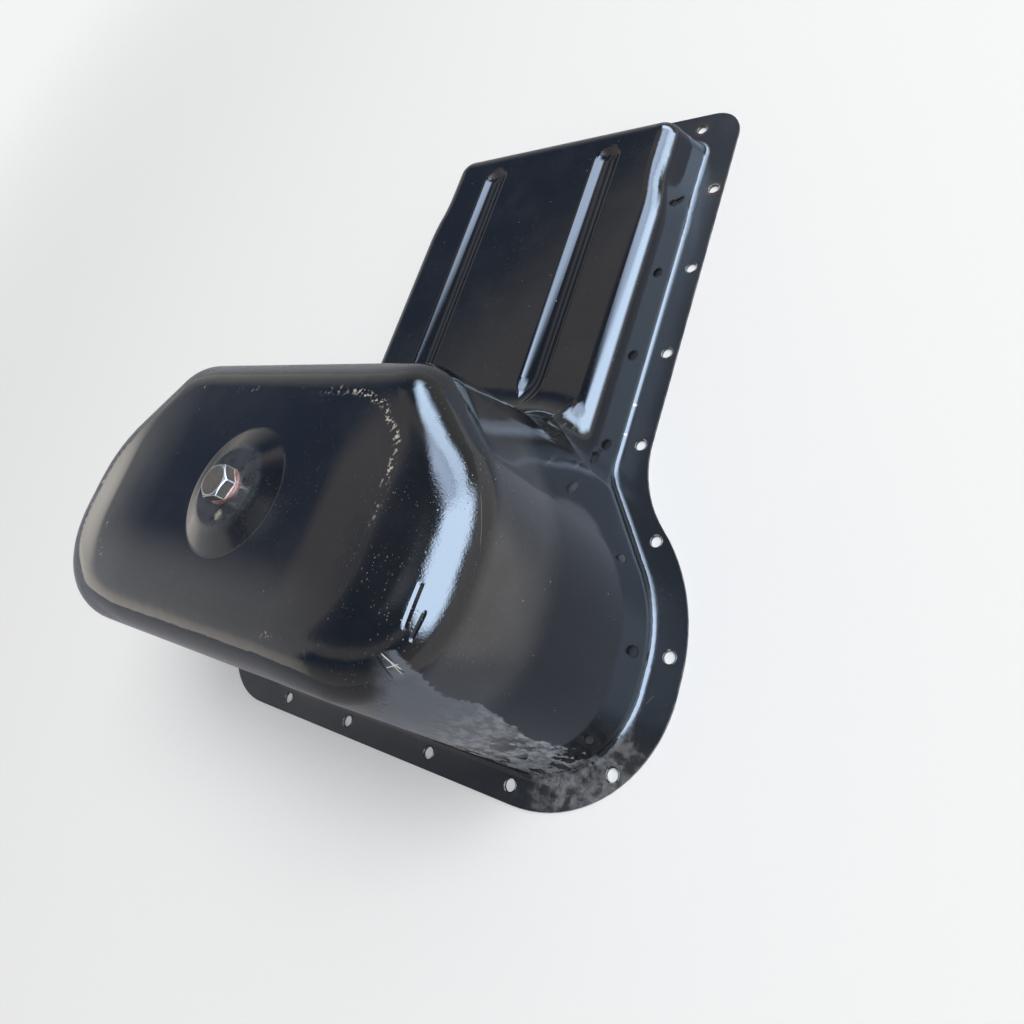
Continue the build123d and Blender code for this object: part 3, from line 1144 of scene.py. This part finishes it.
@dataclass(frozen=True)
class SkyPatch:
    """Soft patch of the surroundings, by its bearings in degrees; it only shows in reflections."""

    centre: float
    half: float
    low: float
    high: float
    soft: float
    colour: Colour

    def mask(self, graph: Graph, around: Socket, rise: Socket) -> Socket:
        """Masks the patch.

        Args:
            graph: graph of the world.
            around: bearing in degrees from +X.
            rise: degrees over the horizon.

        Returns:
            The patch's mask.
        """
        inputs = {0: graph.less(around, self.centre), 1: FULL_CIRCLE / 2, 2: -FULL_CIRCLE / 2}
        wrapped = graph.out("ShaderNodeMath", inputs, operation="WRAP")
        off = graph.math("ABSOLUTE", wrapped)
        sideways = graph.step(off, self.half + self.soft, self.half - self.soft)
        above = graph.step(rise, self.low - self.soft, self.low + self.soft)
        below = graph.step(rise, self.high + self.soft, self.high - self.soft)
        return graph.times(sideways, above, below)


@dataclass
class Studio:
    """Pale floor, soft light and the camera."""

    floor_half: float = 6.0
    floor_gap: float = 0.0003
    floor_rough: float = 0.9
    floor_sheen: float = 0.2
    floor_colour: Colour = (0.72, 0.72, 0.71)
    floor_shown: Colour = (0.87, 0.87, 0.86)
    floor_fade: Range = (0.6, 2.2)
    floor_left: Colour = (0.37, 0.36, 0.37)
    floor_near: Colour = (0.40, 0.44, 0.53)
    floor_far: Colour = (0.92, 0.89, 0.86)
    near_from: Range = (0.08, 0.17)
    far_from: Range = (0.235, 0.275)
    air: Colour = (0.43, 0.435, 0.45)
    backdrop: Colour = (0.90, 0.905, 0.91)
    target: Point = (0.02, -0.05, 0.08)
    key_azimuth: float = 20.0
    key_elevation: float = 58.0
    key_distance: float = 4.2
    key_size: float = 2.8
    key_power: float = 140.0
    sky: tuple[SkyPatch, ...] = (
        SkyPatch(-157.0, 24.0, -4.0, 46.0, 5.0, (0.92, 0.93, 0.99)),
        SkyPatch(-160.0, 30.0, -6.0, 14.0, 5.0, (1.35, 1.28, 1.2)),
        SkyPatch(66.0, 29.0, 40.0, 60.0, 7.0, (7.0, 8.8, 11.8)),
        SkyPatch(33.0, 70.0, 20.0, 40.0, 5.0, (9.5, 12.2, 15.8)),
        SkyPatch(6.0, 40.0, 7.0, 66.0, 9.0, (12.8, 16.3, 21.0)),
    )
    sky_waves: float = 2.6
    sky_wander: float = 9.0
    zenith: float = 90.0
    far_side: tuple[tuple[float, Colour], ...] = (
        (0.0, (0.62, 0.60, 0.57)), (10.0, (0.50, 0.50, 0.50)), (17.0, (0.40, 0.43, 0.48)),
        (25.0, (0.20, 0.25, 0.35)), (31.0, (0.11, 0.17, 0.31)), (36.0, (0.13, 0.19, 0.32)),
        (40.0, (0.62, 0.61, 0.66)), (47.0, (0.70, 0.68, 0.72)), (53.0, (0.24, 0.29, 0.42)),
        (60.0, (0.10, 0.15, 0.27)), (74.0, (0.14, 0.19, 0.30)), (90.0, (0.9, 1.0, 1.2)))
    eye: Point = (0.37366, -0.20334, 0.40425)
    eye_right: Point = (0.78432, 0.30257, -0.54157)
    eye_up: Point = (-0.04443, 0.89815, 0.43745)
    eye_back: Point = (0.61877, -0.31903, 0.71788)
    lens: float = 28.858
    sensor: float = 36.0
    shift: Range = (-0.0086, -0.0729)
    clip: Range = (0.01, 50.0)

    def build(self) -> None:
        """Sets up floor, light and camera."""
        self._floor()
        self._air()
        self._key()
        self._camera()

    def _floor(self) -> None:
        """Lays the floor under the part."""
        mesh = bpy.data.meshes.new("floor")
        corners = [(x * self.floor_half, y * self.floor_half, -self.floor_gap)
                   for x, y in ((-1, -1), (1, -1), (1, 1), (-1, 1))]
        mesh.from_pydata(corners, [], [(0, 1, 2, 3)])
        floor = add("floor", mesh)
        mesh.materials.append(self._floor_finish())

    def _floor_finish(self) -> Material:
        """Makes the floor's finish: pale to the camera, lost in the backdrop, tinted in reflections.

        Returns:
            The material.
        """
        skin = Skin("pale_floor")
        path = skin.node("ShaderNodeLightPath").outputs
        across, seen = skin.at["X"], path["Is Camera Ray"]
        close = skin.tint(skin.step(across, *self.near_from), self.floor_left, self.floor_near)
        mirrored = skin.tint(skin.step(across, *self.far_from), close, self.floor_far)
        unseen = skin.tint(path["Is Glossy Ray"], self.floor_colour, mirrored)
        away = skin.times(seen, skin.step(skin.measure("LENGTH", skin.place), *self.floor_fade))
        shown = skin.tint(away, self.floor_shown, (0.0, 0.0, 0.0))
        skin.give("Base Color", skin.tint(seen, unseen, shown))
        skin.give("Specular IOR Level", skin.blend(seen, self.floor_sheen, 0.0))
        skin.give("Emission Color", self.backdrop)
        skin.give("Emission Strength", away)
        skin.give("Roughness", self.floor_rough)
        skin.material.cycles.emission_sampling = "NONE"
        return skin.material

    def _air(self) -> None:
        """Fills the room with dim even light; reflections show a bright sky over a dark far side."""
        world = bpy.data.worlds.new("room")
        world.use_nodes = True
        world.node_tree.nodes.clear()
        graph = Graph(world.node_tree)
        path = graph.node("ShaderNodeLightPath").outputs
        light = graph.out("ShaderNodeBackground", {"Color": self.air})
        views = {"Is Glossy Ray": self._surroundings(graph), "Is Camera Ray": self.backdrop}
        for ray, colour in views.items():
            view = graph.out("ShaderNodeBackground", {"Color": colour})
            light = graph.out("ShaderNodeMixShader", {0: path[ray], 1: light, 2: view})
        graph.node("ShaderNodeOutputWorld", {"Surface": light})
        world.cycles.sampling_method = "NONE"
        bpy.context.scene.world = world

    def _surroundings(self, graph: Graph) -> Socket:
        """Paints what the reflections show.

        Args:
            graph: graph of the world.

        Returns:
            The colour by direction.
        """
        direction = graph.out("ShaderNodeTexCoord", key="Generated")
        parts = graph.node("ShaderNodeSeparateXYZ", {0: direction}).outputs
        rise = graph.times(graph.math("ARCSINE", parts["Z"]), math.degrees(1.0))
        around = graph.times(graph.math("ARCTAN2", parts["Y"], parts["X"]), math.degrees(1.0))
        wander = graph.times(graph.swing(direction, self.sky_waves), self.sky_wander)
        share = graph.math("DIVIDE", graph.math("ADD", rise, wander), self.zenith, clamp=True)
        ramp = graph.node("ShaderNodeValToRGB", {0: share})
        self._fill(ramp.color_ramp)
        seen = ramp.outputs["Color"]
        for patch in self.sky:
            seen = graph.tint(patch.mask(graph, around, rise), seen, patch.colour)
        return seen

    def _fill(self, ramp: ColorRamp) -> None:
        """Writes the far side's colours into a ramp.

        Args:
            ramp: ramp from the horizon at 0 to the zenith at 1, with its two first stops.
        """
        for stop, (rise, colour) in zip(ramp.elements, (self.far_side[0], self.far_side[-1])):
            stop.position = rise / self.zenith
            stop.color = rgba(colour)
        for rise, colour in self.far_side[1:-1]:
            ramp.elements.new(rise / self.zenith).color = rgba(colour)

    def _key(self) -> None:
        """Hangs the large soft lamp."""
        lamp = bpy.data.lights.new("key", "AREA")
        lamp.shape = "SQUARE"
        lamp.size = self.key_size
        lamp.energy = self.key_power
        key = add("key", lamp)
        around, up = math.radians(self.key_azimuth), math.radians(self.key_elevation)
        side = Vector((math.cos(up) * math.cos(around), math.cos(up) * math.sin(around), math.sin(up)))
        turn = (-side).to_track_quat("-Z", "Y").to_matrix().to_4x4()
        key.matrix_world = Matrix.Translation(Vector(self.target) + side * self.key_distance) @ turn
        key.visible_glossy = False

    def _camera(self) -> None:
        """Puts the camera at the photograph's angle."""
        lens = bpy.data.cameras.new("camera")
        lens.sensor_width = self.sensor
        lens.lens = self.lens
        lens.shift_x, lens.shift_y = self.shift
        lens.clip_start, lens.clip_end = self.clip
        camera = add("camera", lens)
        turn = Matrix((self.eye_right, self.eye_up, self.eye_back)).transposed().to_4x4()
        camera.matrix_world = Matrix.Translation(Vector(self.eye)) @ turn
        bpy.context.scene.camera = camera


def main() -> None:
    """Dresses the part and sets up the studio."""
    logging.basicConfig(level=logging.INFO)
    bpy.context.scene.view_settings.view_transform = "Standard"
    PanShell().build()
    DrainFitting().build()
    Studio().build()


if __name__ == "__main__":
    main()
